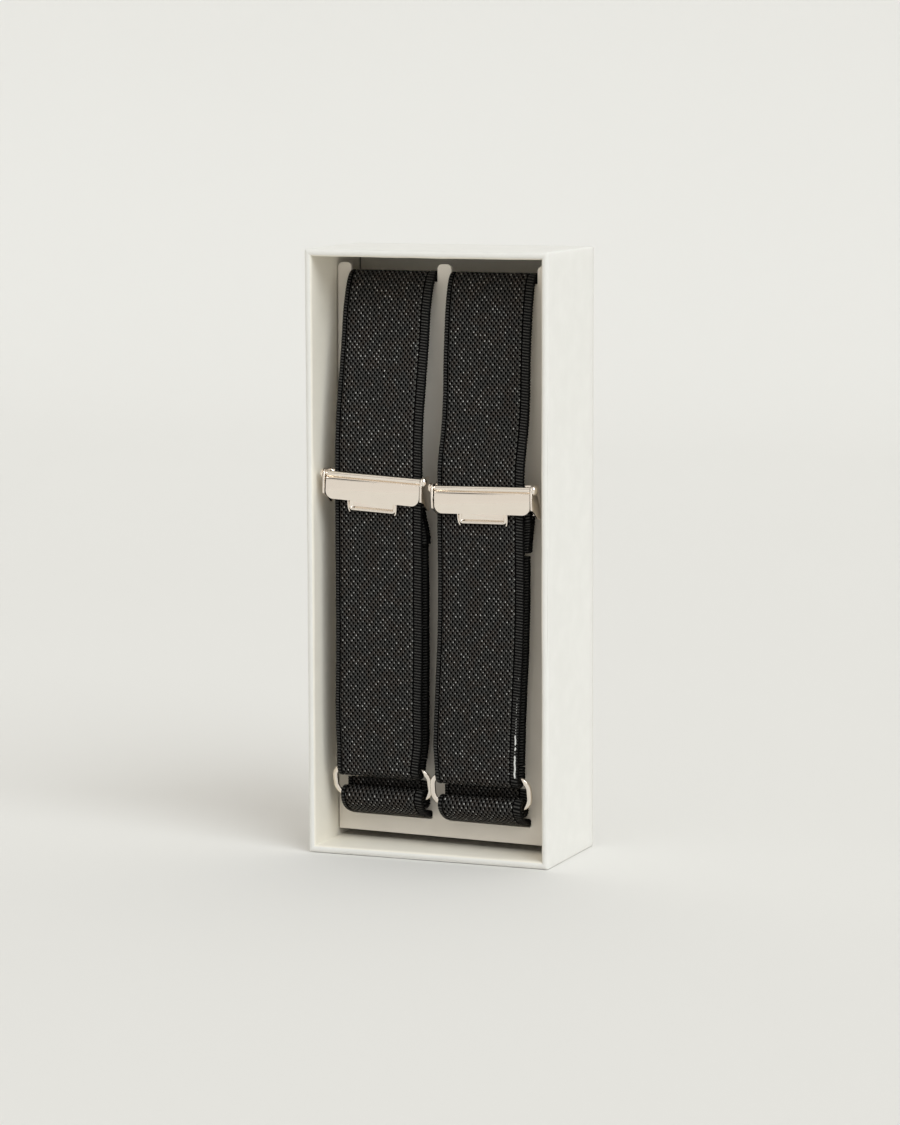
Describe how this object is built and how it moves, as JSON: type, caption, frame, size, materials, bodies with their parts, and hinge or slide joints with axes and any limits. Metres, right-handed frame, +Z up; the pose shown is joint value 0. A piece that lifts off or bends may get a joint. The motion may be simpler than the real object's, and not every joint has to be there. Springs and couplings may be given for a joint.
{
  "type": "boxed sleeve suspenders",
  "caption": "Pair of elastic sleeve garters with nickel lever adjusters and oval rings, hooked over a card in an open box tray.",
  "frame": {"origin": "middle of the tray's base, on the surface that it stands on", "axes": "+Z up the tray's long side, the tray opens towards -Y, +X to the right seen from the open side"},
  "size_m": [0.07, 0.036, 0.165],
  "materials": {
    "paper": "fine textured off-white wrap paper",
    "greyboard": "raw grey cardboard",
    "card": "smooth off-white card",
    "webbing": "black woven elastic with a bird's-eye face and ribbed edges",
    "thread": "black polyester thread",
    "nickel": "bright nickel plate with fine scratches"
  },
  "bodies": {
    "tray": {"tray_wrap": "paper", "tray_board": "greyboard", "base_liner": "paper"},
    "insert": {"card_insert": "card", "elastic_band_left": "webbing", "elastic_band_right": "webbing", "return_layer_left": "webbing", "return_layer_right": "webbing"},
    "adjuster_left": {"adjuster_frame_left": "nickel", "lever_pin_left": "nickel", "adjuster_end_loop_left": "webbing", "adjuster_stitching_left": "thread"},
    "lever_left": {"adjuster_lever_left": "nickel"},
    "ring_left": {"oval_ring_left": "nickel"},
    "adjuster_right": {"adjuster_frame_right": "nickel", "lever_pin_right": "nickel", "adjuster_end_loop_right": "webbing", "adjuster_stitching_right": "thread"},
    "lever_right": {"adjuster_lever_right": "nickel"},
    "ring_right": {"oval_ring_right": "nickel"}
  },
  "joints": [
    {"name": "insert_pull", "type": "slide", "parent": "tray", "child": "insert", "axis": [0, -1, 0], "range_m": [0, 0.045]},
    {"name": "adjuster_slide_left", "type": "slide", "parent": "insert", "child": "adjuster_left", "axis": [0, 0, 1], "range_m": [-0.03, 0.002], "deforming": ["return_layer_left"]},
    {"name": "lever_hinge_left", "type": "hinge", "parent": "adjuster_left", "child": "lever_left", "pos_m": [-0.0162, -0.01495, 0.1035], "axis": [-0.9986, 0, 0.0523], "range_deg": [0, 115]},
    {"name": "ring_rock_left", "type": "hinge", "parent": "insert", "child": "ring_left", "pos_m": [-0.0164, -0.0093, 0.0192], "axis": [1, 0, 0], "range_deg": [-4, 4]},
    {"name": "adjuster_slide_right", "type": "slide", "parent": "insert", "child": "adjuster_right", "axis": [0, 0, 1], "range_m": [-0.03, 0.002], "deforming": ["return_layer_right"]},
    {"name": "lever_hinge_right", "type": "hinge", "parent": "adjuster_right", "child": "lever_right", "pos_m": [0.0155, -0.01555, 0.1016], "axis": [-0.9999, 0, -0.0122], "range_deg": [0, 115]},
    {"name": "ring_rock_right", "type": "hinge", "parent": "insert", "child": "ring_right", "pos_m": [0.0132, -0.0113, 0.0189], "axis": [1, 0, 0], "range_deg": [-4, 4]}
  ]
}
